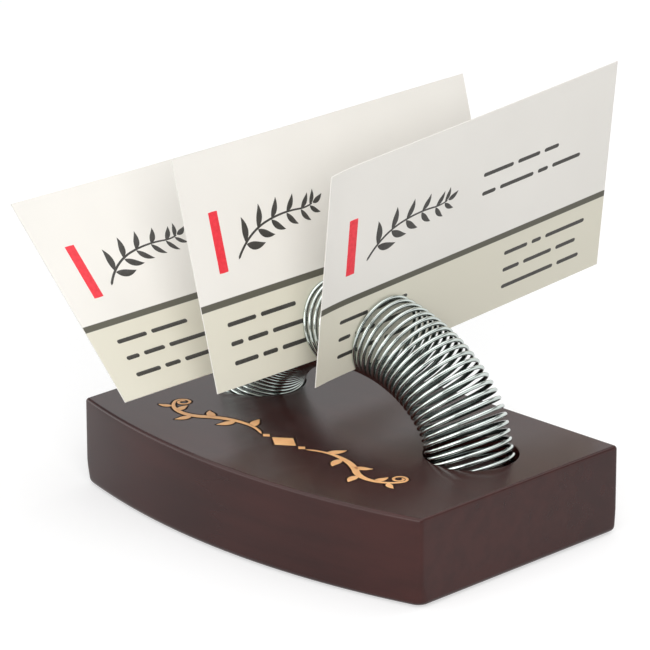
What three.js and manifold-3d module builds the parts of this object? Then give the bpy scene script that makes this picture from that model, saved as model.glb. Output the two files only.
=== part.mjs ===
// Desk memo holder: a lacquered wood block with one coil spring arched between two bores, and cards
// pinched between turns of the coil. Millimetres and degrees, +X right, +Y back, +Z up. The origin lies
// on the table under the middle of the block's outline.
import * as THREE from 'three';
import { mergeVertices } from 'three/addons/utils/BufferGeometryUtils.js';
import Module from 'manifold-3d';

const wasm = await Module();
wasm.setup();

// Wood block
const blockWidth = 102.4;
const blockSideDepth = 60;
const frontBulge = 7.6;
const blockHeight = 18.8;
const edgeRadius = 1;
const cornerEase = 1.7;

// Felt pad under the block
const feltThickness = 0.8;
const feltInset = 3;

// Coil spring
const wireDiameter = 0.64;
const coilDiameter = 19.3;
const legSpacing = 64.4;
const springToBackEdge = 25.2;
const archRise = 23;
const archFootBelowTop = 2.2;
const turnsInArch = 59;
const fanPerTurn = 2.65;
const turnPhase = 0.2;

// Bores for the coil's legs, and how the legs are held in them
const boreDepth = 10;
const boreClearance = 0.85;
const mouthChamfer = 0.4;
const endGap = 0.3;
const plugHeight = 6.8;
const plugClearance = 0.6;
const plugChamfer = 0.8;

// Countersunk screws, up through the block into the plugs
const screwLength = 13;
const screwShankDiameter = 3.5;
const screwHeadDiameter = 7;
const screwTip = 3;
const screwRecess = 0.4;
const screwClearance = 0.3;

// Cards: the gap between turns that each stands in, counted from the crown, how far its lower edge
// stays above the underside of the coil, how far it is pushed to the back, and its turn in its own plane
const cardWidth = 88.9;
const cardHeight = 50.8;
const cardThickness = 0.3;
const cards = [
  { name: 'card_left', gap: -17, lift: 5.4, shift: -5.3, spin: 0.2 },
  { name: 'card_middle', gap: -6, lift: 1.8, shift: 7.7, spin: -0.3 },
  { name: 'card_right', gap: 4, lift: 2.7, shift: 25, spin: -4.3 },
];

// Facets
const wireSides = 5;
const stepsPerTurn = 8;
const boreSegments = 48;
const plugSegments = 32;
const screwSegments = 16;
const outlineSegments = 10;
const edgeSegments = 3;
const bendSteps = 3;

// Places that follow from the sizes
const radians = THREE.MathUtils.degToRad;
const backY = (blockSideDepth + frontBulge) / 2;
const blockBottom = feltThickness;
const blockTop = blockBottom + blockHeight;
const boreFloor = blockTop - boreDepth;
const boreRadius = coilDiameter / 2 + boreClearance;
const legX = legSpacing / 2;
const springY = backY - springToBackEdge;
const wireRadius = wireDiameter / 2;
const turnRadius = coilDiameter / 2 - wireRadius;
const facetShare = Math.sqrt(Math.cos(Math.PI / stepsPerTurn));
const turnCornerRadius = turnRadius / facetShare;
const undersideRadius = turnRadius * facetShare - wireRadius;

const lacqueredWood = new THREE.MeshStandardMaterial({ color: '#4f3d3c', roughness: 0.32, metalness: 0 });
const stainedWood = new THREE.MeshStandardMaterial({ color: '#453330', roughness: 0.7, metalness: 0 });
const felt = new THREE.MeshStandardMaterial({ color: '#232220', roughness: 1, metalness: 0 });
const springSteel = new THREE.MeshStandardMaterial({ color: '#c9d1cd', roughness: 0.25, metalness: 1 });
const screwSteel = new THREE.MeshStandardMaterial({ color: '#b9b6a8', roughness: 0.4, metalness: 1 });
const cardStock = new THREE.MeshStandardMaterial({ color: '#e4e0d8', roughness: 0.8, metalness: 0 });

const holder = new THREE.Group();

function addPiece(name, geometry, material) {
  const mesh = new THREE.Mesh(geometry, material);
  mesh.name = name;
  holder.add(mesh);
  return mesh;
}

// Solid for a cut: shared corners are merged, and the slivers that a revolve has on its axis dropped
function solidOf(geometry) {
  const bare = geometry.clone();
  bare.deleteAttribute('normal');
  bare.deleteAttribute('uv');
  const merged = mergeVertices(bare);
  const corners = merged.index.array;
  const triVerts = [];
  for (let i = 0; i < corners.length; i += 3) {
    const [a, b, c] = corners.slice(i, i + 3);
    if (a !== b && b !== c && c !== a) triVerts.push(a, b, c);
  }
  const vertProperties = new Float32Array(merged.attributes.position.array);
  return new wasm.Manifold(new wasm.Mesh({ numProp: 3, vertProperties, triVerts: new Uint32Array(triVerts) }));
}

function geometryOf(solid) {
  const { vertProperties, triVerts } = solid.getMesh();
  const geometry = new THREE.BufferGeometry();
  geometry.setAttribute('position', new THREE.BufferAttribute(vertProperties, 3));
  geometry.setIndex(new THREE.BufferAttribute(triVerts, 1));
  return geometry;
}

// Revolve about +Z of a profile given as pairs of radius and height, from its lowest point on the axis up
function revolve(profile, segments) {
  const points = profile.map(([radius, height]) => new THREE.Vector2(radius, height));
  return new THREE.LatheGeometry(points, segments).rotateX(Math.PI / 2);
}

// The block from above, drawn in by an inset: straight back and sides, a shallow arc in front, eased corners
function blockOutline(inset) {
  const halfWidth = blockWidth / 2 - inset;
  const back = backY - inset;
  const bowRadius = (blockWidth ** 2 / 4 + frontBulge ** 2) / (2 * frontBulge);
  const bowY = bowRadius - backY;
  const arcRadius = bowRadius - inset;
  const cornerAngle = Math.asin(halfWidth / arcRadius);
  const arcAngle = cornerAngle - cornerEase / arcRadius;
  const cornerY = bowY - arcRadius * Math.cos(cornerAngle);
  const arcX = arcRadius * Math.sin(arcAngle);
  const arcY = bowY - arcRadius * Math.cos(arcAngle);
  const outline = new THREE.Shape();
  outline.moveTo(halfWidth - cornerEase, back);
  outline.lineTo(cornerEase - halfWidth, back);
  outline.quadraticCurveTo(-halfWidth, back, -halfWidth, back - cornerEase);
  outline.lineTo(-halfWidth, cornerY + cornerEase);
  outline.quadraticCurveTo(-halfWidth, cornerY, -arcX, arcY);
  outline.absarc(0, bowY, arcRadius, -Math.PI / 2 - arcAngle, -Math.PI / 2 + arcAngle, false);
  outline.quadraticCurveTo(halfWidth, cornerY, halfWidth, cornerY + cornerEase);
  outline.lineTo(halfWidth, back - cornerEase);
  outline.quadraticCurveTo(halfWidth, back, halfWidth - cornerEase, back);
  return outline;
}

// Stepped hole for one leg: countersink and shank hole from below, the bore and its eased mouth above
function legHole(x) {
  const past = 1;
  const headRadius = screwHeadDiameter / 2 + screwRecess + screwClearance;
  const shankRadius = screwShankDiameter / 2 + screwClearance;
  const hole = revolve([
    [0, blockBottom - past],
    [headRadius, blockBottom - past],
    [headRadius, blockBottom],
    [shankRadius, blockBottom + headRadius - shankRadius],
    [shankRadius, boreFloor],
    [boreRadius, boreFloor],
    [boreRadius, blockTop - mouthChamfer],
    [boreRadius + mouthChamfer, blockTop],
    [boreRadius + mouthChamfer, blockTop + past],
    [0, blockTop + past],
  ], boreSegments);
  return hole.translate(x, springY, 0);
}

function blockGeometry() {
  const block = new THREE.ExtrudeGeometry(blockOutline(0), {
    depth: blockHeight - 2 * edgeRadius,
    bevelThickness: edgeRadius,
    bevelSize: edgeRadius,
    bevelOffset: -edgeRadius,
    bevelSegments: edgeSegments,
    curveSegments: outlineSegments,
  });
  block.translate(0, 0, blockBottom + edgeRadius);
  const drilled = solidOf(block)
    .subtract(solidOf(legHole(-legX)))
    .subtract(solidOf(legHole(legX)));
  return geometryOf(drilled);
}

function feltGeometry() {
  return new THREE.ExtrudeGeometry(blockOutline(feltInset), {
    depth: feltThickness,
    bevelEnabled: false,
    curveSegments: outlineSegments,
  });
}

// Turned plug on a bore's floor, with a blind hole for the screw
function plugGeometry() {
  const radius = undersideRadius - plugClearance;
  const top = boreFloor + plugHeight;
  const pilotRadius = screwShankDiameter / 2 + screwClearance;
  const pilotTop = blockBottom + screwRecess + screwLength + screwClearance;
  return revolve([
    [0, pilotTop],
    [pilotRadius, pilotTop],
    [pilotRadius, boreFloor],
    [radius, boreFloor],
    [radius, top - plugChamfer],
    [radius - plugChamfer, top],
    [0, top],
  ], plugSegments);
}

// Countersunk screw, head down, with a pointed tip
function screwGeometry() {
  const headRadius = screwHeadDiameter / 2;
  const shankRadius = screwShankDiameter / 2;
  const bottom = blockBottom + screwRecess;
  return revolve([
    [0, bottom],
    [headRadius, bottom],
    [shankRadius, bottom + headRadius - shankRadius],
    [shankRadius, bottom + screwLength - screwTip],
    [0, bottom + screwLength],
  ], screwSegments);
}

// The coil's centre line in the upright plane through both bores: two straight legs and half an ellipse
const legFootZ = boreFloor + endGap;
const archFootZ = blockTop - archFootBelowTop;
const arch = new THREE.EllipseCurve(0, archFootZ, legX, archRise, Math.PI, 0, true);
const centreLine = new THREE.CurvePath();
centreLine.add(new THREE.LineCurve(new THREE.Vector2(-legX, legFootZ), new THREE.Vector2(-legX, archFootZ)));
centreLine.add(arch);
centreLine.add(new THREE.LineCurve(new THREE.Vector2(legX, archFootZ), new THREE.Vector2(legX, legFootZ)));
const pitch = arch.getLength() / turnsInArch;

// One turn of the coil, by its count from the crown: its centre and the way its top leans. Turns stand
// upright at the crown, fan out evenly to both sides and lie level in the bores.
function turnAt(count) {
  const share = 0.5 + (count * pitch) / centreLine.getLength();
  const centre = centreLine.getPoint(share);
  const lean = radians(THREE.MathUtils.clamp(count * fanPerTurn, -90, 90));
  return {
    lean,
    centre: new THREE.Vector3(centre.x, springY, centre.y),
    top: new THREE.Vector3(Math.sin(lean), 0, Math.cos(lean)),
  };
}

// Points of the wire's centre line, each with the direction away from the coil's middle. A turn lies flat,
// so that a card can stand against it, and steps to the next turn at its underside. The coil is left-handed.
function wirePoints() {
  const tail = 2 * wireDiameter;
  const reach = (centreLine.getLength() / 2 - tail) / pitch;
  const firstTurn = Math.ceil(-reach - turnPhase);
  const lastTurn = Math.floor(reach - turnPhase);
  const back = new THREE.Vector3(0, 1, 0);
  const points = [];
  for (let turn = firstTurn; turn <= lastTurn; turn += 1) {
    const { centre, top } = turnAt(turn + turnPhase);
    for (let step = 0; step < stepsPerTurn; step += 1) {
      const angle = Math.PI - (2 * Math.PI * (step + 0.5)) / stepsPerTurn;
      const away = top.clone().multiplyScalar(Math.cos(angle)).addScaledVector(back, Math.sin(angle));
      points.push({ place: centre.clone().addScaledVector(away, turnCornerRadius), away });
    }
  }
  return [...tailPoints(points[1], points[0]).reverse(), ...points, ...tailPoints(...points.slice(-2))];
}

// The wire's end turns down from its last two points and stands square on the bore's floor
function tailPoints(before, last) {
  const ahead = last.place.clone().sub(before.place).normalize();
  const down = new THREE.Vector3(0, 0, -1);
  const tail = [];
  for (let step = 1; step <= bendSteps; step += 1) {
    const bend = (step / bendSteps) * (Math.PI / 2);
    const place = last.place.clone()
      .addScaledVector(ahead, wireDiameter * Math.sin(bend))
      .addScaledVector(down, wireDiameter * (1 - Math.cos(bend)));
    tail.push({ place, away: last.away });
  }
  const end = tail.at(-1).place.clone().setZ(legFootZ);
  tail.push({ place: end, away: last.away });
  return tail;
}

// Least gap from the wire to itself, between points on each stretch and those half a turn or more along
function leastGap(points) {
  const perStretch = 4;
  const samples = [];
  for (let i = 0; i + 1 < points.length; i += 1) {
    for (let j = 0; j < perStretch; j += 1) {
      samples.push(points[i].place.clone().lerp(points[i + 1].place, j / perStretch));
    }
  }
  const halfTurn = (perStretch * stepsPerTurn) / 2;
  let least = Infinity;
  for (let i = 0; i < samples.length; i += 1) {
    for (let j = i + halfTurn; j < samples.length; j += 1) {
      least = Math.min(least, samples[i].distanceTo(samples[j]));
    }
  }
  return least - wireDiameter;
}

// One closed tube along the wire's points, with a ring of corners at each and a cap at both ends
function springGeometry() {
  const points = wirePoints();
  console.log(`spring: least gap of the wire to itself ${leastGap(points).toFixed(2)} mm`);
  const corners = [];
  const faces = [];
  points.forEach(({ place, away }, i) => {
    const before = points[Math.max(i - 1, 0)].place;
    const after = points[Math.min(i + 1, points.length - 1)].place;
    const toHere = place.clone().sub(before).normalize();
    const fromHere = after.clone().sub(place).normalize();
    const along = toHere.add(fromHere).normalize();
    const out = away.clone().addScaledVector(along, -away.dot(along)).normalize();
    const across = along.clone().cross(out);
    for (let side = 0; side < wireSides; side += 1) {
      const angle = (2 * Math.PI * side) / wireSides;
      const corner = place.clone()
        .addScaledVector(out, wireRadius * Math.cos(angle))
        .addScaledVector(across, wireRadius * Math.sin(angle));
      corners.push(corner.x, corner.y, corner.z);
    }
  });
  for (let ring = 0; ring + 1 < points.length; ring += 1) {
    for (let side = 0; side < wireSides; side += 1) {
      const a = ring * wireSides + side;
      const b = ring * wireSides + ((side + 1) % wireSides);
      faces.push(a, b, a + wireSides, b, b + wireSides, a + wireSides);
    }
  }
  const lastRing = (points.length - 1) * wireSides;
  for (let side = 1; side + 1 < wireSides; side += 1) {
    faces.push(0, side + 1, side, lastRing, lastRing + side, lastRing + side + 1);
  }
  const geometry = new THREE.BufferGeometry();
  geometry.setAttribute('position', new THREE.Float32BufferAttribute(corners, 3));
  geometry.setIndex(faces);
  return geometry;
}

// Stands a card in its gap: halfway between two turns and leaning with them
function addCard({ name, gap, lift, shift, spin }) {
  const { centre, top, lean } = turnAt(gap - 0.5 + turnPhase);
  const card = new THREE.BoxGeometry(cardThickness, cardWidth, cardHeight);
  card.translate(0, shift, cardHeight / 2);
  const mesh = addPiece(name, card, cardStock);
  mesh.position.copy(centre).addScaledVector(top, lift - undersideRadius);
  mesh.rotation.set(-radians(spin), lean, 0, 'YXZ');
}

addPiece('base_block', blockGeometry(), lacqueredWood);
addPiece('felt_pad', feltGeometry(), felt);
addPiece('left_plug', plugGeometry(), stainedWood).position.set(-legX, springY, 0);
addPiece('right_plug', plugGeometry(), stainedWood).position.set(legX, springY, 0);
addPiece('left_screw', screwGeometry(), screwSteel).position.set(-legX, springY, 0);
addPiece('right_screw', screwGeometry(), screwSteel).position.set(legX, springY, 0);
addPiece('spring', springGeometry(), springSteel);
cards.forEach(addCard);

export default holder;
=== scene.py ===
import bmesh
import bpy
import numpy as np
from mathutils import Matrix, Vector


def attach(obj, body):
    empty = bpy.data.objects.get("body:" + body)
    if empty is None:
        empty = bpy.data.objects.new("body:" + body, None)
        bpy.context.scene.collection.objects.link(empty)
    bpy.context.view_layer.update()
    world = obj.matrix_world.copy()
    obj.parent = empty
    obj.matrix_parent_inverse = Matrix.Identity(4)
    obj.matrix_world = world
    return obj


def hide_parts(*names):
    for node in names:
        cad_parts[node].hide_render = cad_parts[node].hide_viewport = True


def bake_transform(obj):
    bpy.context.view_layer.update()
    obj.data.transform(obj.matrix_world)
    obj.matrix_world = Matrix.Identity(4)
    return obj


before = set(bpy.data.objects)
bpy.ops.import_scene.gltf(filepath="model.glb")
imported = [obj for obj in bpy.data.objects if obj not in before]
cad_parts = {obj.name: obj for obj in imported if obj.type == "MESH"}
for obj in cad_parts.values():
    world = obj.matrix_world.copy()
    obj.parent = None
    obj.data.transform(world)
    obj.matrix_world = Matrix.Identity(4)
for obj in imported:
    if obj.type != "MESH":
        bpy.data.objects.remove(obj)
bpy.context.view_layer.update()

# Camera
# A long lens about a metre away, from the front right and a little above. Its place, turn and lens are
# those at which the block's edges, the bores' rims and the cards' corners fall where the photograph has them.
view_azimuth, view_elevation, view_roll = np.radians([45.1371, 19.4383, -0.1165])
camera_place = (0.679045, -0.678939, 0.381880)
camera_lens = 263.06
sensor_width = 36.0

towards_camera = np.array([
    np.sin(view_azimuth) * np.cos(view_elevation),
    -np.cos(view_azimuth) * np.cos(view_elevation),
    np.sin(view_elevation),
])
level_right = np.array([np.cos(view_azimuth), np.sin(view_azimuth), 0.0])
level_up = np.cross(towards_camera, level_right)
image_right = np.cos(view_roll) * level_right + np.sin(view_roll) * level_up
image_up = np.cos(view_roll) * level_up - np.sin(view_roll) * level_right

camera_settings = bpy.data.cameras.new("photo_camera")
camera_settings.lens = camera_lens
camera_settings.sensor_width = sensor_width
camera_settings.clip_start = 0.01
camera = bpy.data.objects.new("photo_camera", camera_settings)
bpy.context.scene.collection.objects.link(camera)
camera_turn = Matrix(np.stack([image_right, image_up, towards_camera], axis=1).tolist()).to_4x4()
camera.matrix_world = Matrix.Translation(camera_place) @ camera_turn
bpy.context.scene.camera = camera

# Wood block
# A hardwood block sawn to a bowed front, its edges eased by sanding, most of all the front corners at the
# foot. It has two blind bores from above, a countersunk screw hole under each and a shallow recess for the
# felt, and it is stained dark red-brown and sprayed with satin lacquer.
block_width = 102.8
block_side_depth = 60.5
front_bulge = 7.8
block_bottom, block_top = 0.28, 19.95
corner_radius, foot_front_radius, foot_back_radius, foot_height = 1.0, 3.3, 1.5, 6.0
top_edge_radius, bottom_edge_radius = 0.8, 1.4
recess_inset, recess_radius, recess_top = 3.2, 3.4, 0.8
bore_x, bore_y = 32.2, 8.6
bore_radius, bore_floor, mouth_radius = 10.25, 9.6, 0.25
screw_hole_radius, countersink_radius = 2.05, 4.2
floor_ring_radius = 6.0
stain_dark = (47, 20, 18)
stain_light = (60, 27, 24)
millimetre = 0.001
merge_distance = 1e-6
usual_noise = (0.3, 0.7)


def grid_quads(rows, columns, wraps=False):
    """Corner numbers of every cell in a grid of points counted row by row. With wraps, the last column
    meets the first."""
    corner = np.arange(rows * columns).reshape(rows, columns)
    if wraps:
        corner = np.hstack([corner, corner[:, :1]])
    cells = [corner[:-1, :-1], corner[:-1, 1:], corner[1:, 1:], corner[1:, :-1]]
    return np.stack(cells, axis=-1).reshape(-1, 4)


def make_piece(name, grids, material, sharp_degrees=35, uv=None):
    """One mesh from grids of points in millimetres, each given with its quads. Points that fall together
    are merged, faces turned outwards, and shading is smooth except over edges past the sharp angle."""
    starts = np.cumsum([0] + [len(points) for points, _ in grids])
    points = np.concatenate([points for points, _ in grids]) * millimetre
    quads = np.concatenate([quads + start for (_, quads), start in zip(grids, starts)])
    mesh = bpy.data.meshes.new(name)
    mesh.from_pydata(points.tolist(), [], quads.tolist())
    if uv is not None:
        layer = mesh.uv_layers.new(name="surface")
        layer.data.foreach_set("uv", uv[quads.ravel()].astype(np.float32).ravel())
    shell = bmesh.new()
    shell.from_mesh(mesh)
    bmesh.ops.remove_doubles(shell, verts=shell.verts, dist=merge_distance)
    bmesh.ops.recalc_face_normals(shell, faces=shell.faces)
    shell.to_mesh(mesh)
    shell.free()
    mesh.shade_smooth()
    mesh.set_sharp_from_angle(angle=np.radians(sharp_degrees))
    mesh.materials.append(material)
    piece = bpy.data.objects.new(name, mesh)
    bpy.context.scene.collection.objects.link(piece)
    return piece


def seen_colour(red, green, blue):
    """A colour given as it shows on screen, 0 to 255 each, in the linear values that shaders take."""
    share = np.array([red, green, blue]) / 255
    linear = np.where(share <= 0.04045, share / 12.92, ((share + 0.055) / 1.055) ** 2.4)
    return (*linear.tolist(), 1.0)


def add_node(tree, kind, sockets=None, **options):
    """A shader node with its options set. Each named or numbered socket gets a value or a link."""
    node = tree.nodes.new(kind)
    for option, value in options.items():
        setattr(node, option, value)
    for socket, value in (sockets or {}).items():
        if isinstance(value, bpy.types.NodeSocket):
            tree.links.new(value, node.inputs[socket])
        else:
            node.inputs[socket].default_value = value
    return node


def new_finish(name, **shader_values):
    """An empty material: returns it, its node tree and its shader with the given constant values."""
    material = bpy.data.materials.new(name)
    material.use_nodes = True
    shader = material.node_tree.nodes["Principled BSDF"]
    for socket, value in shader_values.items():
        shader.inputs[socket.replace("_", " ")].default_value = value
    return material, material.node_tree, shader


def noise(tree, place, scale, detail, stretch):
    """Noise on the given coordinates, finer along an axis with a larger stretch."""
    stretched = add_node(tree, "ShaderNodeMapping", {"Vector": place, "Scale": stretch}).outputs[0]
    sockets = {"Vector": stretched, "Scale": scale, "Detail": detail}
    return add_node(tree, "ShaderNodeTexNoise", sockets).outputs[0]


def object_noise(tree, scale, detail, stretch=(1, 1, 1)):
    """Noise on object coordinates, in metres."""
    place = add_node(tree, "ShaderNodeTexCoord").outputs["Object"]
    return noise(tree, place, scale, detail, stretch)


def ranged(tree, value, low, high, to_low, to_high):
    """Value between low and high carried over to the range from to_low to to_high."""
    sockets = {"Value": value, "From Min": low, "From Max": high, "To Min": to_low, "To Max": to_high}
    return add_node(tree, "ShaderNodeMapRange", sockets).outputs[0]


def over_noise(tree, noise_value, to_low, to_high):
    """Value from to_low to to_high over the range in which noise mostly lies."""
    return ranged(tree, noise_value, *usual_noise, to_low, to_high)


def calculated(tree, operation, *values):
    """Result of an arithmetic operation on values or links."""
    return add_node(tree, "ShaderNodeMath", dict(enumerate(values)), operation=operation).outputs[0]


def two_tone(tree, factor, first, second):
    """Colour running from first to second as factor goes from 0 to 1."""
    return add_node(tree, "ShaderNodeMix", {0: factor, 6: first, 7: second}, data_type="RGBA").outputs[2]


def feed(tree, shader, **links):
    """Links values to the shader's sockets."""
    for socket, value in links.items():
        tree.links.new(value, shader.inputs[socket.replace("_", " ")])


def relief(tree, shader, height, depth, strength):
    """Bump of a given depth in metres on the shader's normal."""
    sockets = {"Height": height, "Distance": depth, "Strength": strength}
    feed(tree, shader, Normal=add_node(tree, "ShaderNodeBump", sockets).outputs[0])


def block_outline(front_radius, back_radius):
    """Right half of the block's plan, from the middle of the front to the middle of the back, as points and
    outward directions: an arc, a corner arc, the straight side, a corner arc and half the straight back."""
    half_width = block_width / 2
    back = (block_side_depth + front_bulge) / 2
    bow_radius = (half_width**2 + front_bulge**2) / (2 * front_bulge)
    bow_centre = bow_radius - back
    corner_x = half_width - front_radius
    corner_y = bow_centre - np.sqrt((bow_radius - front_radius) ** 2 - corner_x**2)
    bow_end = np.arcsin(corner_x / (bow_radius - front_radius))
    bow = np.linspace(0, bow_end, 44)
    front_turn = np.linspace(bow_end, np.pi / 2, 12)[1:]
    back_turn = np.linspace(np.pi / 2, np.pi, 12)
    side_y = np.linspace(corner_y, back - back_radius, 34)[1:-1]
    back_x = np.linspace(half_width - back_radius, 0, 30)[1:]

    def arc(x, y, radius, angle):
        """Points of a circle about x and y, at angles counted from the front."""
        out = np.stack([np.sin(angle), -np.cos(angle)], axis=1)
        return np.hstack([[x, y] + radius * out, out])

    def line(x, y, out):
        """Points of a straight stretch, which all face the same way out."""
        x, y = np.broadcast_arrays(x, y)
        return np.stack([x, y, np.full(len(x), out[0]), np.full(len(x), out[1])], axis=1)

    return np.concatenate([
        arc(0, bow_centre, bow_radius, bow),
        arc(corner_x, corner_y, front_radius, front_turn),
        line(half_width, side_y, (1.0, 0.0)),
        arc(half_width - back_radius, back - back_radius, back_radius, back_turn),
        line(back_x, back, (0.0, 1.0)),
    ])


def eased(share):
    """Share from 0 to 1 with a level start and end."""
    share = np.clip(share, 0, 1)
    return share * share * (3 - 2 * share)


def block_wall(*halves):
    """Sides of the block: a quarter round, a straight wall, a quarter round and the recess's rim, carried
    round the outline, which turns into the rounder outline of the foot on the way down. Each row of points
    lies a given inset inwards from the outline at a given height."""
    outline, foot, recess = (np.concatenate([half, half[-2:0:-1] * [-1, 1, -1, 1]]) for half in halves)
    turn = np.linspace(0, np.pi / 2, 9)
    top_inset = top_edge_radius * (1 - np.sin(turn))
    top_height = block_top - top_edge_radius * (1 - np.cos(turn))
    bottom_inset = bottom_edge_radius * (1 - np.cos(turn))
    bottom_height = block_bottom + bottom_edge_radius * (1 - np.sin(turn))
    wall_height = np.linspace(top_height[-1], bottom_height[0], 14)[1:-1]
    rim_inset, rim_height = [recess_inset, recess_inset], [block_bottom, recess_top]
    inset = np.concatenate([top_inset, np.zeros(len(wall_height)), bottom_inset, rim_inset])[:, None, None]
    height = np.concatenate([top_height, wall_height, bottom_height, rim_height])[:, None, None]
    footing = eased((foot_height - height) / (foot_height - block_bottom))
    round_plan = outline + footing * (foot - outline)
    round_plan[-2:] = recess
    plan = round_plan[..., :2] - inset * round_plan[..., 2:]
    points = np.concatenate([plan, np.broadcast_to(height, plan.shape[:2] + (1,))], axis=-1)
    return points.reshape(-1, 3), grid_quads(*plan.shape[:2], wraps=True)


def block_half(half, recess, side):
    """Top, bore, screw hole and underside of one half as one grid of rings around the bore's axis. A ring
    is a circle of some radius, drawn out by a share towards the edge of the half, at some height."""
    middle_y = np.linspace(half[-1, 1] - top_edge_radius, half[0, 1] + top_edge_radius, 62)[1:-1]
    middle = np.stack([np.zeros_like(middle_y), middle_y], axis=1)
    top_edge = np.concatenate([half[:, :2] - top_edge_radius * half[:, 2:], middle])
    depth = np.ptp(half[:, 1])
    narrowing = np.array([1, (depth - 2 * recess_inset) / (depth - 2 * top_edge_radius)])
    bottom_edge = np.concatenate([recess[:, :2] - recess_inset * recess[:, 2:], middle * narrowing])
    centre = np.array([bore_x, bore_y])
    way = top_edge - centre
    way /= np.linalg.norm(way, axis=1, keepdims=True)

    drawn_out = np.array([1, 0.995, 0.97, 0.9, 0.75, 0.6, 0.45, 0.3, 0.18, 0.09, 0.03, 0.008])
    turn = np.linspace(0, np.pi / 2, 6)
    mouth = bore_radius + mouth_radius * (1 - np.sin(turn))
    mouth_height = block_top - mouth_radius * (1 - np.cos(turn))
    wall = np.full(7, bore_radius)
    wall_height = np.linspace(mouth_height[-1], bore_floor, 8)[1:]
    cone_top = recess_top + countersink_radius - screw_hole_radius
    radius = np.concatenate([
        np.full(len(drawn_out), bore_radius + mouth_radius), mouth, wall,
        [floor_ring_radius, screw_hole_radius, screw_hole_radius, countersink_radius],
        np.full(len(drawn_out), countersink_radius),
    ])
    height = np.concatenate([
        np.full(len(drawn_out), block_top), mouth_height, wall_height,
        [bore_floor, bore_floor, cone_top, recess_top],
        np.full(len(drawn_out), recess_top),
    ])
    share = np.zeros_like(radius)
    share[:len(drawn_out)] = drawn_out
    share[-len(drawn_out):] = drawn_out[::-1]
    edge = np.where((height > bore_floor)[:, None, None], top_edge, bottom_edge)
    ring = centre + radius[:, None, None] * way
    plan = ring + share[:, None, None] * (edge - ring)
    level = np.broadcast_to(height[:, None, None], plan.shape[:2] + (1,))
    points = np.concatenate([plan, level], axis=-1)
    return points.reshape(-1, 3) * [side, 1, 1], grid_quads(*plan.shape[:2], wraps=True)


def satin_lacquer():
    """Stain that gathers a little along the grain, under a sprayed coat with a faint ripple."""
    material, tree, shader = new_finish("satin_lacquer", IOR=1.41)
    grain = object_noise(tree, 1.0, detail=5, stretch=(18, 260, 260))
    cloud = object_noise(tree, 28.0, detail=2)
    tone = ranged(tree, calculated(tree, "ADD", grain, cloud), 0.75, 1.3, 0, 1)
    colour = two_tone(tree, tone, seen_colour(*stain_dark), seen_colour(*stain_light))
    feed(tree, shader, Base_Color=colour, Roughness=over_noise(tree, cloud, 0.21, 0.26))
    ripple = object_noise(tree, 900.0, detail=1)
    relief(tree, shader, ripple, 0.00002, 0.25)
    return material


top_outline = block_outline(corner_radius, corner_radius)
foot_outline = block_outline(foot_front_radius, foot_back_radius)
recess_outline = block_outline(recess_radius, recess_radius)
lacquered_block = make_piece(
    "lacquered_block",
    [block_wall(top_outline, foot_outline, recess_outline),
     *(block_half(top_outline, recess_outline, side) for side in (1, -1))],
    satin_lacquer(),
)
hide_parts("base_block")
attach(lacquered_block, "base")

# Gold ornament
# A scroll engraved along the front of the block's top and filled with gold paint, which sits level with the
# lacquer and a trace proud of it. A dark band round each stroke is painted shade of the groove's walls.
ornament_x, ornament_y = -1.0, -14.6
scroll_start = (6.6, -0.3)
scroll_length = 47.0
scroll_share = (0, 0.16, 0.38, 0.56, 0.66, 1.0)
scroll_heading = (34, -2, -38, 24, 62, 560)
spiral_end_step = 0.38
scroll_thin, scroll_swell, swelling_share, scroll_tip = 0.7, 1.1, 0.72, 0.03
scroll_leaves = [  # share along the scroll, turn, length, width
    (0.10, 48, 5.0, 2.3), (0.22, -62, 5.0, 2.3), (0.33, 58, 4.6, 2.1),
    (0.44, -60, 4.6, 2.1), (0.53, 62, 4.0, 1.9), (0.60, -66, 3.6, 1.7),
]
leaf_bend, leaf_skew = 40, 0.8
lozenges = [((0, 0), 7.4, 6.2), ((5.4, 0), 2.2, 2.2), ((-5.4, 0), 2.2, 2.2)]
full_height_width = 0.2
paint_height = 0.09
groove_rim, groove_height = 0.4, 0.05
gold_bright = (252, 197, 138)
gold_deep = (243, 182, 120)
# painted shade of the engraved groove's walls, as two dark browns
groove_shade_dark = (24, 12, 10)
groove_shade_brown = (40, 21, 17)


def stroke(path, width, height):
    """A closed flat band along a path in a plane: a loop of six points across the path, as wide as the
    width at that point and as thick as height. Where it is narrow it thins as well, and where the width is
    nought it is drawn to a point."""
    ahead = np.gradient(path, axis=0)
    ahead /= np.linalg.norm(ahead, axis=1, keepdims=True)
    aside = np.stack([-ahead[:, 1], ahead[:, 0]], axis=1)
    loop = np.array([(-0.5, 0), (-0.4, 0.5), (0.4, 0.5), (0.5, 0), (0.4, -0.5), (-0.4, -0.5)])
    across = np.asarray(width)[:, None, None] * loop[:, :1] * aside[:, None, :]
    thick = np.minimum(1, np.asarray(width)[:, None] / full_height_width) * height * loop[:, 1]
    points = np.concatenate([path[:, None, :] + across, thick[:, :, None]], axis=-1)
    return points.reshape(-1, 3), grid_quads(len(path), len(loop), wraps=True)


def heading_path(start, length, share, heading, end_step, steps=160):
    """Path from a start point whose direction in degrees runs through the given headings at the given
    shares of its length, so that each stretch is an arc and a long sweep of heading is a spiral. Over the
    last stretch the steps shrink evenly to end_step of their length."""
    along = np.linspace(0, 1, steps)
    shrinking = np.interp(along, (share[-2], 1), (1, end_step))
    angle = np.radians(np.interp(along, share, heading))
    step = length / steps * shrinking[:, None] * np.stack([np.cos(angle), np.sin(angle)], axis=1)
    return np.array(start) + np.concatenate([[[0, 0]], np.cumsum(step, axis=0)[:-1]])


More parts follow.
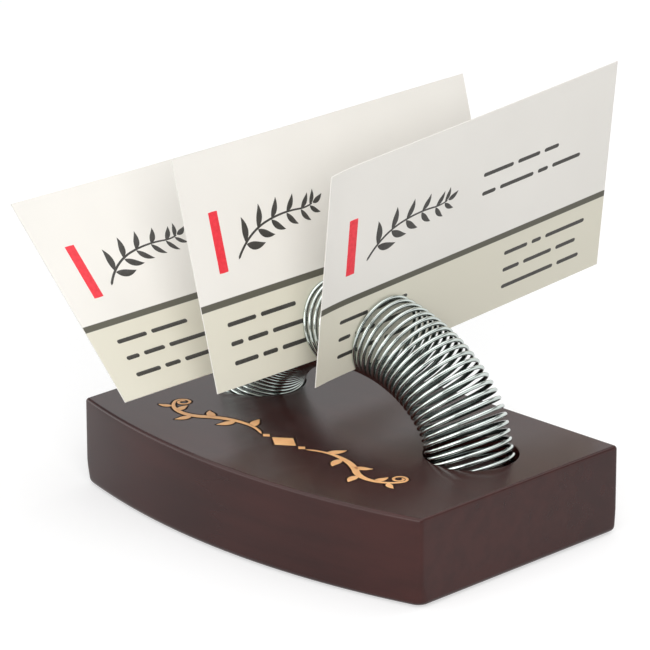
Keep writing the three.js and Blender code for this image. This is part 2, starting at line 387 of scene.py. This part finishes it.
def leaf(foot, heading, length, width):
    """A leaf: a slightly bent midrib, with a width that swells from nought and back as a sine."""
    share = np.linspace(0, 1, 21)
    angle = np.radians(heading + leaf_bend * (share - 0.5))
    step = length / len(share) * np.stack([np.cos(angle), np.sin(angle)], axis=1)
    path = np.array(foot) + np.cumsum(step, axis=0)
    return path, width * np.sin(np.pi * share**leaf_skew)


def lozenge(middle, length, width):
    """A diamond: a straight path with a width that rises and falls evenly."""
    share = np.linspace(-1, 1, 21)
    path = np.array(middle) + share[:, None] * [length / 2, 0]
    return path, width * (1 - np.abs(share))


def mirrored(path_and_width):
    """The same stroke on the other side of the middle."""
    path, width = path_and_width
    return path * [-1, 1], width


def rimmed(path, width):
    """The groove of a stroke: wider by the rim on both sides, and drawn to a point a rim past each end."""
    ahead = path[[0, -1]] - path[[1, -2]]
    first, last = path[[0, -1]] + groove_rim * ahead / np.linalg.norm(ahead, axis=1, keepdims=True)
    return np.concatenate([[first], path, [last]]), np.concatenate([[0], width + 2 * groove_rim, [0]])


def pointed(share, tip):
    """1 along a stroke, falling evenly to nought over the tip's share of it at each end."""
    return np.minimum(1, np.minimum(share, 1 - share) / tip)


def scroll_side():
    """One side of the ornament: a scroll that swells as a squared sine, thins and ends in a spiral, and
    leaves along it."""
    main = heading_path(scroll_start, scroll_length, scroll_share, scroll_heading, spiral_end_step)
    share = np.linspace(0, 1, len(main))
    swell = scroll_thin + scroll_swell * np.sin(np.pi * np.clip(share / swelling_share, 0, 1)) ** 2
    strokes = [(main, swell * pointed(share, scroll_tip))]
    for at, turn, length, width in scroll_leaves:
        heading = np.interp(at, scroll_share, scroll_heading)
        strokes.append(leaf(main[int(at * len(main))], heading + turn, length, width))
    return strokes


def raised(strokes, height, place):
    """Bands of the given height along the strokes, moved to a place."""
    bands = [stroke(path, width, height) for path, width in strokes]
    return [(points + place, quads) for points, quads in bands]


def mottled(tree, mottle, first, second):
    """Colour that wanders with noise between two colours, each given as it shows on screen."""
    return two_tone(tree, over_noise(tree, mottle, 0, 1), seen_colour(*first), seen_colour(*second))


def gold_paint():
    """Gold paint in an engraved line: warm yellow, a little uneven in tone and gloss."""
    material, tree, shader = new_finish("gold_paint", Metallic=0.15)
    mottle = object_noise(tree, 420.0, detail=3)
    colour = mottled(tree, mottle, gold_deep, gold_bright)
    feed(tree, shader, Base_Color=colour, Roughness=over_noise(tree, mottle, 0.38, 0.52))
    relief(tree, shader, mottle, 0.00002, 0.4)
    return material


def painted_groove_shade():
    """Painted shade of the groove's walls round the gold: dark brown with a fine mottle, dull."""
    material, tree, shader = new_finish("painted_groove_shade", Roughness=0.75, IOR=1.2)
    shade_mottle = object_noise(tree, 900.0, detail=3)
    feed(tree, shader, Base_Color=mottled(tree, shade_mottle, groove_shade_dark, groove_shade_brown))
    relief(tree, shader, shade_mottle, 0.00003, 0.4)
    return material


right_strokes = scroll_side()
ornament_strokes = [*right_strokes, *map(mirrored, right_strokes)]
ornament_strokes += [lozenge(*sizes) for sizes in lozenges]
groove_strokes = [rimmed(path, width) for path, width in ornament_strokes]
ornament_place = (ornament_x, ornament_y, block_top)
# the groove layer is a flat dark band of painted shade round each gold stroke
for layer_name, strokes, layer_height, layer_finish in [
    ("engraved_groove_shade", groove_strokes, groove_height, painted_groove_shade()),
    ("gold_ornament", ornament_strokes, paint_height, gold_paint()),
]:
    layer = make_piece(layer_name, raised(strokes, layer_height, ornament_place), layer_finish)
    layer.visible_glossy = False  # the wire mirrors none of it
    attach(layer, "base")

# Felt pad
# A die-cut sheet of dark pressed wool felt, glued into the recess of the underside so that the block doesn't
# mark a desk or slide on it.
felt_dark = (28, 27, 25)
felt_light = (52, 50, 46)


def pressed_felt():
    """Short matted fibres: one fine noise in the tone and in the pile."""
    material, tree, shader = new_finish("pressed_felt", Roughness=0.95, Sheen_Weight=0.3)
    fibre = object_noise(tree, 1500.0, detail=4)
    feed(tree, shader, Base_Color=mottled(tree, fibre, felt_dark, felt_light))
    relief(tree, shader, fibre, 0.0002, 0.6)
    return material


def refinish(node_name, material):
    """Gives a piece of the frame, kept as it is, its finish."""
    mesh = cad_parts[node_name].data
    mesh.materials.clear()
    mesh.materials.append(material)


refinish("felt_pad", pressed_felt())

# Wood plugs
# Two short turned plugs on the bores' floors, inside the last turns of the coil, that keep its ends from
# shifting. They are stained but not lacquered, with rings of growth across the end.
plug_dark = (40, 25, 23)
plug_light = (58, 38, 35)
pith_offset = 0.006


def stained_wood(name, centre):
    """Growth rings about a pith beside the plug, broken by fine pores."""
    material, tree, shader = new_finish(name, Roughness=0.7)
    place = add_node(tree, "ShaderNodeTexCoord").outputs["Object"]
    to_pith = [-(centre[0] + pith_offset), -centre[1], 0]
    about_pith = add_node(tree, "ShaderNodeMapping", {"Vector": place, "Location": to_pith}).outputs[0]
    growth = {"Vector": about_pith, "Scale": 260.0, "Distortion": 2.5, "Detail": 2.0}
    rings = add_node(tree, "ShaderNodeTexWave", growth, wave_type="RINGS", rings_direction="Z").outputs[1]
    pores = object_noise(tree, 1.0, detail=2, stretch=(900, 900, 60))
    tone = ranged(tree, calculated(tree, "MULTIPLY", rings, pores), 0, 0.6, 0, 1)
    colour = two_tone(tree, tone, seen_colour(*plug_light), seen_colour(*plug_dark))
    feed(tree, shader, Base_Color=colour)
    relief(tree, shader, pores, 0.00006, 0.5)
    return material


for hand, plug_x in [("left", -bore_x), ("right", bore_x)]:
    plug_centre = (plug_x * millimetre, bore_y * millimetre)
    refinish(f"{hand}_plug", stained_wood(f"stained_wood_{hand}", plug_centre))

# Screws
# Two countersunk wood screws of zinc-plated steel, driven up through the block into the plugs before the
# felt goes on and hides them.
zinc_pale = (196, 194, 184)
zinc_dull = (160, 158, 150)


def plated_zinc():
    """Dull bright plating with a faint cloud in its tone and gloss."""
    material, tree, shader = new_finish("plated_zinc", Metallic=1.0)
    cloud = object_noise(tree, 700.0, detail=3)
    colour = mottled(tree, cloud, zinc_dull, zinc_pale)
    feed(tree, shader, Base_Color=colour, Roughness=over_noise(tree, cloud, 0.3, 0.45))
    return material


screw_finish = plated_zinc()
refinish("left_screw", screw_finish)
refinish("right_screw", screw_finish)

# Coil spring
# One length of bright spring wire, wound left-handed as an open coil and bent over in an arch. Its turns fan
# out round the arch and lie flat to a card that they pinch, and its feet spread a little in the bores and
# stand on their floors.
coil_width = 19.3
wire_radius = 0.46
turn_radius = coil_width / 2 - wire_radius
arch_foot = 17.4
arch_rise = 23.0
floor_gap, last_turn_drop = 0.3, 2.2
wire_end_height = bore_floor + floor_gap + wire_radius + last_turn_drop
foot_swell, swell_start, swell_end = 0.45, 38.0, 47.0
mouth_shift, shift_place, shift_reach = (-0.13, -0.36), (33.0, 45.5), (7.0, 4.0)
turn_number = (-38, -18, -17, -7, -6, 3, 4, 14, 34)
turn_place = (-52.9, -26.5, -24.8, -10.1, -8.5, 4.7, 6.3, 21.5, 53.6)
lean_place = (-50, -25.6, -9.3, 5.5, 12, 24, 36, 50)
lean_degrees = (-88, -45.8, -16.7, 9.8, 24, 44, 61.5, 76)
pinched_after_turn = (-18, -7, 3)
level_turns, level_fade = 5.5, 3
climb_from, climb_share = 0.39, 0.22
steps_per_turn = 56
wire_sides = 12
wire_bright = (225, 233, 229)
wire_dull = (201, 210, 206)
# painted shade: the darker colour of the wire's side that faces the inside of the coil
wire_inside_shade = (96, 104, 101)
full_shade_share, no_shade_share, dull_roughness = 0.14, 0.3, 0.15


def coil_centre_line():
    """Points up one leg, over half an ellipse and down the other leg, in the upright plane through both
    bores, with their distances along the line from its crown."""
    angle = np.linspace(0, np.pi, 6001)
    arch = np.stack([-bore_x * np.cos(angle), arch_foot + arch_rise * np.sin(angle)], axis=1)
    leg = np.linspace(wire_end_height, arch_foot, 200, endpoint=False)
    left = np.stack([np.full_like(leg, -bore_x), leg], axis=1)
    line = np.concatenate([left, arch, left[::-1] * [-1, 1]])
    distance = np.concatenate([[0], np.cumsum(np.linalg.norm(np.diff(line, axis=0), axis=1))])
    return line, distance - distance[-1] / 2


def wire_path():
    """Centre of the wire: it goes round the coil's centre line once a turn, from the top of one turn to the
    top of the next. Away from the cards it climbs evenly on the way; beside a card it stays level and climbs
    at the underside alone. Towards both feet the turns widen, and at the right bore's mouth they stand a
    little forward and inwards. Returns its points and the directions away from the coil's middle."""
    line, distance = coil_centre_line()
    turn = np.arange(turn_number[0] * steps_per_turn, turn_number[-1] * steps_per_turn) / steps_per_turn
    this_turn = np.floor(turn)
    way = turn - this_turn
    from_card = np.abs(turn[:, None] - np.array(pinched_after_turn) - 0.5).min(axis=1)
    level = eased((level_turns - from_card) / level_fade)
    climb = level * eased((way - climb_from) / climb_share) + (1 - level) * way
    here, after = (np.interp(this_turn + step, turn_number, turn_place) for step in (0, 1))
    place = here + climb * (after - here)
    inside = np.abs(place) < distance[-1]
    place, way = place[inside], way[inside]
    x, z = (np.interp(place, distance, line[:, axis]) for axis in (0, 1))
    centre = np.stack([x, np.full_like(x, bore_y), z], axis=1)
    coming = eased((place - shift_place[0]) / shift_reach[0])
    going = eased((shift_place[1] - place) / shift_reach[1])
    centre[:, :2] += (coming * going)[:, None] * mouth_shift
    lean = np.radians(np.interp(place, lean_place, lean_degrees))
    top = np.stack([np.sin(lean), np.zeros_like(lean), np.cos(lean)], axis=1)
    angle = 2 * np.pi * way[:, None]
    away = np.cos(angle) * top - np.sin(angle) * [0, 1, 0]
    swell = foot_swell * eased((np.abs(place) - swell_start) / (swell_end - swell_start))
    return centre + (turn_radius + swell)[:, None] * away, away


def tube(path, away, radius, sides):
    """A round tube along a path: at each point a ring square to the path, its first corner on the away
    side. Both ends are drawn to their middle. Also gives its own coordinates, along and round."""
    ahead = np.gradient(path, axis=0)
    ahead /= np.linalg.norm(ahead, axis=1, keepdims=True)
    out = away - (away * ahead).sum(axis=1, keepdims=True) * ahead
    out /= np.linalg.norm(out, axis=1, keepdims=True)
    across = np.cross(ahead, out)
    angle = np.linspace(0, 2 * np.pi, sides + 1)[None, :, None]
    rings = path[:, None, :] + radius * (np.cos(angle) * out[:, None, :] + np.sin(angle) * across[:, None, :])
    first, last = (np.repeat(end[:, None], sides + 1, axis=1) for end in (path[:1], path[-1:]))
    rings = np.concatenate([first, rings, last])
    length = np.concatenate([[0], np.cumsum(np.linalg.norm(np.diff(path, axis=0), axis=1))])
    along = np.concatenate([[0], length, length[-1:]])
    uv = np.stack(np.broadcast_arrays(along[:, None], np.linspace(0, 1, sides + 1)), axis=-1)
    return (rings.reshape(-1, 3), grid_quads(len(path) + 2, sides + 1)), uv.reshape(-1, 2)


def bright_wire():
    """Drawn steel wire: long faint die marks along it in tone and gloss, a little cool in colour. On the side
    that faces the inside of the coil its colour is darkened as painted shade, and it is rougher there."""
    material, tree, shader = new_finish("bright_wire", Metallic=1.0)
    surface = add_node(tree, "ShaderNodeUVMap", uv_map="surface").outputs[0]
    marks = noise(tree, surface, 1.0, detail=3, stretch=(0.15, 9.0, 1.0))
    polish = mottled(tree, marks, wire_dull, wire_bright)
    round_share = add_node(tree, "ShaderNodeSeparateXYZ", {0: surface}).outputs[1]
    from_inside = calculated(tree, "ABSOLUTE", calculated(tree, "SUBTRACT", round_share, 0.5))
    # painted shade: the colour darkens towards the side facing the coil's inside, where the roughness also
    # rises
    inside_shade = ranged(tree, from_inside, full_shade_share, no_shade_share, 1, 0)
    colour = two_tone(tree, inside_shade, polish, seen_colour(*wire_inside_shade))
    roughness = calculated(tree, "MULTIPLY_ADD", inside_shade, dull_roughness, over_noise(tree, marks, 0.05, 0.1))
    feed(tree, shader, Base_Color=colour, Roughness=roughness)
    return material


wire_tube, wire_uv = tube(*wire_path(), wire_radius, wire_sides)
coil_wire = make_piece("coil_wire", [wire_tube], bright_wire(), sharp_degrees=60, uv=wire_uv)
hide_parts("spring")
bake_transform(coil_wire)

# Cards
# Three cards of smooth coated stock, cut to size and printed on one side: pale above, a dark rule, and a
# tinted band below, with a sprig, a red bar and rows of plain dashes in ink. Each stands in a gap of the
# coil, which holds it flat there, and bows a little beyond it.
card_width, card_height, card_thickness = 88.9, 50.8, 0.26
rule_low, rule_high, rule_blur = 17.4, 18.9, 0.05
print_margin = (-0.5, -0.4)
ink_height = 0.06
paper_white = (234, 231, 225)
paper_shaded = (230, 227, 221)
band_tint = (219, 215, 199)
rule_ink = (92, 90, 79)
dark_ink = (52, 50, 46)
red_ink = (226, 44, 58)
ink_mottle = 14
red_bar_foot, red_bar_tip = (8.4, 24.4), (8.4, 37.8)
red_bar_width, red_bar_rounding = 2.6, 0.05
sprig_foot, sprig_length = (13.2, 26.2), 29.0
sprig_share, sprig_heading = (0, 0.4, 0.75, 1.0), (52, 12, -6, 24)
stem_end_step = 0.18
stem_width, stem_thinning, stem_tip = 0.62, 0.3, 0.02
sprig_leaf_places, sprig_leaf_turns = (0.14, 0.3, 0.46, 0.62, 0.77, 0.9), (52, -48)
sprig_leaf_length, sprig_leaf_shortening, sprig_leaf_breadth = 6.4, 3.0, 0.3
end_leaf_length, end_leaf_width = 3.6, 1.2
dash_width, dash_gap = 0.95, 1.4
dash_rows = [  # start, height, lengths of the dashes
    (6.4, 13.4, (8.5, 10.5)), (6.4, 9.2, (3.6, 6.0, 11.0)), (6.4, 5.0, (7.0, 4.4, 8.2)),
    (57.0, 13.4, (7.4, 3.0, 12.6)), (57.0, 9.2, (5.2, 9.0, 6.4)), (57.0, 5.0, (16.5, 7.0)),
    (48.0, 35.6, (9.4, 7.0, 4.6)), (48.0, 31.0, (4.2, 10.6, 3.2, 9.0)),
]
held_flat = 10.0
cards = {  # body, tilt, then the bow to the left and to the right, each at its lower and upper corner
    "card_left": ("left_card", 0.0, (-0.4, 0.6), (0.2, 0.3)),
    "card_middle": ("middle_card", 1.4, (0.0, 0.1), (0.0, 0.3)),
    "card_right": ("right_card", 0.0, (0.5, 0.7), (-0.2, -0.3)),
}


def card_frame(node_name):
    """Lower left corner of a card's printed face and its directions across, up and out, from its box in
    the frame: the directions are those in which the box's corners spread most, next most and least."""
    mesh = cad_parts[node_name].data
    corners = np.empty(len(mesh.vertices) * 3)
    mesh.vertices.foreach_get("co", corners)
    corners = np.unique(np.round(corners.reshape(-1, 3) / millimetre, 4), axis=0)
    middle = corners.mean(axis=0)
    across, up, out = np.linalg.svd(corners - middle)[2]
    across, up, out = across * np.sign(across[1]), up * np.sign(up[2]), out * np.sign(out[0])
    return middle - across * card_width / 2 - up * card_height / 2, across, up, out


def card_sheet():
    """A card lying flat: its two faces and its rim as grids of across, up and out, and their coordinates,
    which run from 0 to 1 over the printed face and lie outside that on the other face and the rim."""
    across = np.linspace(0, card_width, 46)
    up = np.linspace(0, card_height, 28)
    flat = np.stack(np.meshgrid(across, up), axis=-1)
    front = np.concatenate([flat, np.full(flat.shape[:2] + (1,), card_thickness / 2)], axis=-1)
    back = front * [1, 1, -1]
    edge = np.concatenate([front[0, :-1], front[:-1, -1], front[-1, :0:-1], front[:0:-1, 0]])
    rim = np.stack([edge, edge * [1, 1, -1]])
    grids = [
        (front.reshape(-1, 3), grid_quads(*flat.shape[:2])),
        (back.reshape(-1, 3), grid_quads(*flat.shape[:2])),
        (rim.reshape(-1, 3), grid_quads(2, len(edge), wraps=True)),
    ]
    printed = flat.reshape(-1, 2) / [card_width, card_height]
    plain = np.full((len(grids[1][0]) + len(grids[2][0]), 2), -1.0)
    return grids, np.concatenate([printed, plain])


def printed_stock():
    """Coated card with a faint tooth, printed with a dark rule and a tinted band under it. The other face
    and the rim, whose coordinates are negative, stay plain."""
    material, tree, shader = new_finish("printed_stock", IOR=1.45)
    surface = add_node(tree, "ShaderNodeUVMap", uv_map="surface").outputs[0]
    up = add_node(tree, "ShaderNodeSeparateXYZ", {0: surface}).outputs[1]
    up_mm = calculated(tree, "MULTIPLY", up, card_height)
    tooth = object_noise(tree, 2500.0, detail=2)
    shade = object_noise(tree, 40.0, detail=2)
    paper = mottled(tree, shade, paper_shaded, paper_white)
    under_foot, under_top = (ranged(tree, up_mm, edge - rule_blur, edge + rule_blur, 1, 0)
                             for edge in (rule_low, rule_high))
    on_print = ranged(tree, up_mm, *print_margin, 0, 1)
    in_band = calculated(tree, "MULTIPLY", under_foot, on_print)
    in_rule = calculated(tree, "SUBTRACT", under_top, under_foot)
    tinted = two_tone(tree, in_band, paper, seen_colour(*band_tint))
    colour = two_tone(tree, in_rule, tinted, seen_colour(*rule_ink))
    feed(tree, shader, Base_Color=colour, Roughness=over_noise(tree, tooth, 0.5, 0.62))
    relief(tree, shader, tooth, 0.00001, 0.3)
    return material


def bar(foot, tip, width, rounding):
    """A straight bar from foot to tip, its ends rounded over the given length."""
    length = np.linalg.norm(np.subtract(tip, foot))
    share = 0.5 - 0.5 * np.cos(np.linspace(0, np.pi, 25))
    from_end = np.clip(np.minimum(share, 1 - share) * length / rounding, 0, 1)
    return foot + share[:, None] * np.subtract(tip, foot), width * np.sqrt(1 - (1 - from_end) ** 2)


def sprig():
    """A bent stem, thinning to its tip, with pairs of leaves that shorten along it and one at the end."""
    stem = heading_path(sprig_foot, sprig_length, sprig_share, sprig_heading, stem_end_step)
    share = np.linspace(0, 1, len(stem))
    strokes = [(stem, (stem_width - stem_thinning * share) * pointed(share, stem_tip))]
    for at in sprig_leaf_places:
        foot = stem[int(at * len(stem))]
        heading = np.interp(at, sprig_share, sprig_heading)
        length = sprig_leaf_length - sprig_leaf_shortening * at
        width = sprig_leaf_breadth * length
        strokes += [leaf(foot, heading + turn, length, width) for turn in sprig_leaf_turns]
    return [*strokes, leaf(stem[-1], sprig_heading[-1], end_leaf_length, end_leaf_width)]


def dashes(start, height, lengths):
    """A row of dashes of given lengths, one gap apart."""
    starts = start + np.cumsum([0, *lengths[:-1]]) + dash_gap * np.arange(len(lengths))
    ends = starts + lengths
    return [bar((x, height), (end, height), dash_width, dash_width / 2) for x, end in zip(starts, ends)]


def ink(name, colour):
    """Printing ink: an even film, a little glossier than the card, with slight mottle."""
    material, tree, shader = new_finish(name, Roughness=0.45)
    mottle = object_noise(tree, 1200.0, detail=2)
    lighter = [min(255, level + ink_mottle) for level in colour]
    feed(tree, shader, Base_Color=mottled(tree, mottle, colour, lighter))
    return material


def bent(points, coil_across, tilt, left_bow, right_bow):
    """Points on a flat card, moved out of its plane: by a tilt that grows evenly from the lower edge to the
    upper one, and beyond the coil by the square of the way to the card's edge, times a bow that runs evenly
    from the lower corner's to the upper corner's."""
    across, up = points[:, 0], points[:, 1]
    flat_from, flat_to = coil_across - held_flat, coil_across + held_flat
    to_left = np.clip(1 - across / flat_from, 0, 1) ** 2
    to_right = np.clip((across - flat_to) / (card_width - flat_to), 0, 1) ** 2
    left, right = (low + (high - low) * up / card_height for low, high in (left_bow, right_bow))
    moved = tilt * up / card_height + left * to_left + right * to_right
    return points + np.stack([0 * across, 0 * across, moved], axis=1)


dark_strokes = [*sprig(), *(dash for row in dash_rows for dash in dashes(*row))]
red_strokes = [bar(red_bar_foot, red_bar_tip, red_bar_width, red_bar_rounding)]
printed_face = (0, 0, card_thickness / 2)
card_pieces = [
    ("sheet", printed_stock(), *card_sheet()),
    ("dark_print", ink("dark_ink", dark_ink), raised(dark_strokes, ink_height, printed_face), None),
    ("red_print", ink("red_ink", red_ink), raised(red_strokes, ink_height, printed_face), None),
]
for node_name, (body, *bend) in cards.items():
    corner, across, up, out = card_frame(node_name)
    coil_across = (bore_y - corner[1]) / across[1]
    turn = np.stack([across, up, out])
    for kind, card_finish, grids, uv in card_pieces:
        placed = [(bent(points, coil_across, *bend) @ turn + corner, quads) for points, quads in grids]
        piece = make_piece(f"{node_name}_{kind}", placed, card_finish, uv=uv)
        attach(piece, body)
        if kind == "sheet":
            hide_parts(node_name)

# Floor and light
# A plain white table that keeps a soft shadow, in even light with four soft lamps: one above, one to the
# right, one in front and one behind. The wire mirrors three pale banks of light, low down, high up and to
# the left, and the dark of the studio behind the camera.
bpy.context.scene.view_settings.view_transform = "Standard"
floor_half = 6.0
floor_white = (0.55, 0.55, 0.55, 1.0)
floor_glow, far_glow, floor_mirrored = 0.49, 1.0, 0.55
far_from, far_to = 0.5, 2.5
sky_light = 0.62
low_bank_heights, low_bank_levels = (0.36, 0.5), (1.0, 0.2)
high_bank_heights, high_bank_levels = (0.62, 0.72), (0.0, 1.3)
left_side, left_bank_edge, left_bank_levels = (-0.7, -0.69, 0.2), (0.7, 0.9), (0.0, 1.4)
dark_side, dark_edge, dark_level = (0.69, -0.65, -0.3), (0.72, 0.86), 0.02
lamp_target = (0, 0, 0.03)
lamps = {  # place, size, power, whether metal mirrors it
    "overhead_lamp": ((0.15, -0.05, 1.1), 0.9, 1.1, True),
    "right_lamp": ((0.8, -0.64, 0.5), 0.6, 6.5, False),
    "front_lamp": ((0.1, -1.05, 0.5), 0.7, 2.7, True),
    "rear_lamp": ((0.1, 0.9, 0.7), 0.8, 2.5, False),
}


def ray_kind(tree):
    """Whether a ray comes straight from the camera or through glass, and whether off something glossy."""
    path = add_node(tree, "ShaderNodeLightPath")
    direct = calculated(tree, "MAXIMUM", path.outputs["Is Camera Ray"], path.outputs["Is Transmission Ray"])
    return direct, path.outputs["Is Glossy Ray"]


def facing(tree, direction, side):
    """How far a direction points to a side: 1 straight at it, 0 square to it."""
    sockets = {0: direction, 1: side}
    return add_node(tree, "ShaderNodeVectorMath", sockets, operation="DOT_PRODUCT").outputs["Value"]


floor_mesh = bpy.data.meshes.new("floor")
floor_corners = [(x * floor_half, y * floor_half, 0) for x, y in [(-1, -1), (1, -1), (1, 1), (-1, 1)]]
floor_mesh.from_pydata(floor_corners, [], [(0, 1, 2, 3)])
floor = bpy.data.objects.new("floor", floor_mesh)
bpy.context.scene.collection.objects.link(floor)
floor_finish, floor_tree, floor_shader = new_finish(
    "white_table", Base_Color=floor_white, Roughness=0.9, Emission_Color=(1.0, 1.0, 1.0, 1.0))
floor_seen, floor_off_gloss = ray_kind(floor_tree)
floor_in_gloss = ranged(floor_tree, floor_off_gloss, 0, 1, 0, floor_mirrored)
floor_shown = calculated(floor_tree, "MAXIMUM", floor_seen, floor_in_gloss)
floor_place = add_node(floor_tree, "ShaderNodeTexCoord").outputs["Object"]
far = add_node(floor_tree, "ShaderNodeVectorMath", {0: floor_place}, operation="LENGTH").outputs["Value"]
full_glow = ranged(floor_tree, far, far_from, far_to, floor_glow, far_glow)
feed(floor_tree, floor_shader, Emission_Strength=ranged(floor_tree, floor_shown, 0, 1, 0, full_glow))
floor_mesh.materials.append(floor_finish)

world = bpy.data.worlds.new("white_surround")
world.use_nodes = True
bpy.context.scene.world = world
sky = world.node_tree
surround = sky.nodes["Background"]
surround.inputs["Color"].default_value = (1.0, 1.0, 1.0, 1.0)
sky_seen, sky_off_gloss = ray_kind(sky)
direction = add_node(sky, "ShaderNodeTexCoord").outputs["Generated"]
upward = add_node(sky, "ShaderNodeSeparateXYZ", {0: direction}).outputs[2]
low_bank = ranged(sky, upward, *low_bank_heights, *low_bank_levels)
high_bank = ranged(sky, upward, *high_bank_heights, *high_bank_levels)
left_bank = ranged(sky, facing(sky, direction, left_side), *left_bank_edge, *left_bank_levels)
banks = calculated(sky, "ADD", calculated(sky, "ADD", low_bank, high_bank), left_bank)
mirrored_sky = ranged(sky, facing(sky, direction, dark_side), *dark_edge, banks, dark_level)
sky_unseen = ranged(sky, sky_off_gloss, 0, 1, sky_light, mirrored_sky)
feed(sky, surround, Strength=ranged(sky, sky_seen, 0, 1, sky_unseen, 1.0))

for lamp_name, (place, size, power, mirrored_in_metal) in lamps.items():
    settings = bpy.data.lights.new(lamp_name, "AREA")
    settings.shape = "DISK"
    settings.size = size
    settings.energy = power
    lamp = bpy.data.objects.new(lamp_name, settings)
    bpy.context.scene.collection.objects.link(lamp)
    lamp.visible_glossy = mirrored_in_metal
    aim = Vector(lamp_target) - Vector(place)
    lamp.matrix_world = Matrix.Translation(place) @ aim.to_track_quat("-Z", "Y").to_matrix().to_4x4()
